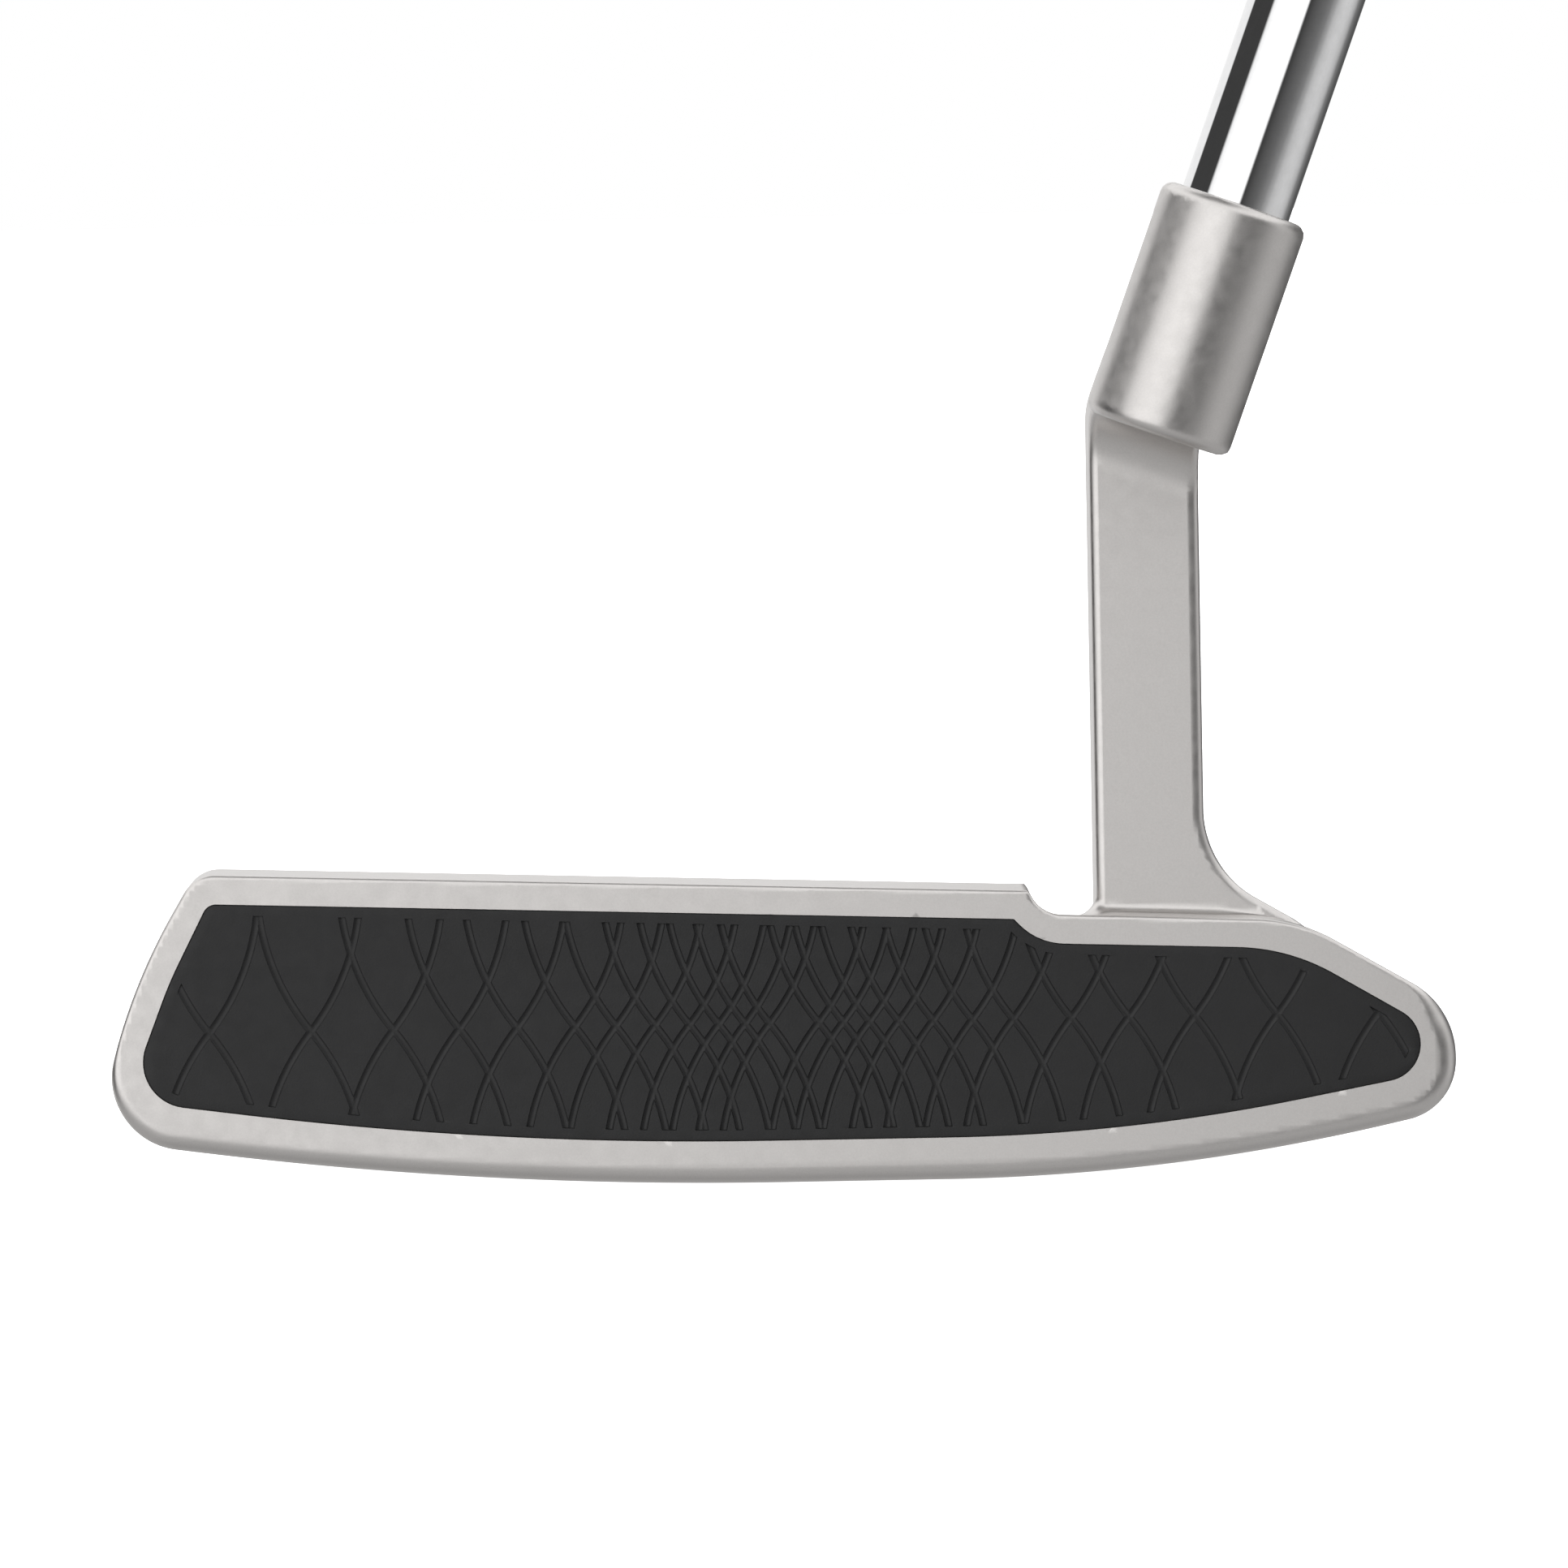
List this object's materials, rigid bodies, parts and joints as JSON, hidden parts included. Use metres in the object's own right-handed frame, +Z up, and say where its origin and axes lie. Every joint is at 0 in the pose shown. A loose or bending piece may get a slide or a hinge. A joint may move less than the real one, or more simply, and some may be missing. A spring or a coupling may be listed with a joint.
{
  "type": "blade putter",
  "caption": "Right-handed blade golf putter: satin steel head with a plumber's-neck hosel and a grooved soft face insert, chromed shaft, and a pistol grip whose hidden screw sets the length.",
  "frame": {"origin": "the middle of the flat on the sole, level with the point where the shaft's axis meets the ground; the club stands at address", "axes": "+Z up from the ground; -Y towards the target, out of the face; +X towards the heel, the side to which the shaft leans; the toe points to -X"},
  "size_m": [0.3851, 0.0451, 0.8388],
  "materials": {
    "satin_steel": "satin bead-blasted cast stainless steel with a fine even grain",
    "black_elastomer": "matte black moulded elastomer, lightly textured",
    "firm_elastomer": "firmer dark grey moulded elastomer, satin",
    "bond_tape": "thin acrylic bonding tape",
    "chrome_shaft": "mirror-bright chromed steel tube",
    "plain_steel": "plain turned steel, lightly oiled",
    "brass": "turned brass",
    "white_acetal": "off-white turned acetal",
    "grip_tape": "paper-backed double-sided grip tape",
    "grip_rubber": "matte black moulded rubber with a fine pattern",
    "cap_plastic": "black moulded plastic, satin",
    "seal_rubber": "black nitrile rubber"
  },
  "bodies": {
    "grip": {"grip_sleeve": "grip_rubber", "grip_tape": "grip_tape", "upper_tube": "plain_steel", "butt_cap": "cap_plastic", "guide_bushing": "white_acetal", "wiper_ring": "seal_rubber", "key_pin": "plain_steel", "screw_bushing": "white_acetal", "upper_stop_sleeve": "white_acetal", "lower_thrust_washer": "brass", "upper_thrust_washer": "brass"},
    "head": {"head_casting": "satin_steel", "face_insert": "black_elastomer", "insert_backing": "firm_elastomer", "insert_bond_tape": "bond_tape", "lower_shaft": "chrome_shaft", "drive_nut": "brass", "rattle_ring": "seal_rubber"},
    "screw": {"lead_screw": "plain_steel", "screw_end_stop": "plain_steel", "retaining_clip": "plain_steel"}
  },
  "joints": [
    {"name": "length_slide", "type": "slide", "parent": "grip", "child": "head", "axis": [0.342, 0, 0.9397], "range_m": [-0.0254, 0.0762]},
    {"name": "screw_turn", "type": "hinge", "parent": "grip", "child": "screw", "pos_m": [0.29414, -0.0157, 0.80814], "axis": [0.342, 0, 0.9397], "range_deg": [-2745, 916]}
  ],
  "couplings": [
    {"joint": "screw_turn", "follows": "length_slide", "rad_per_m": -628.32}
  ]
}
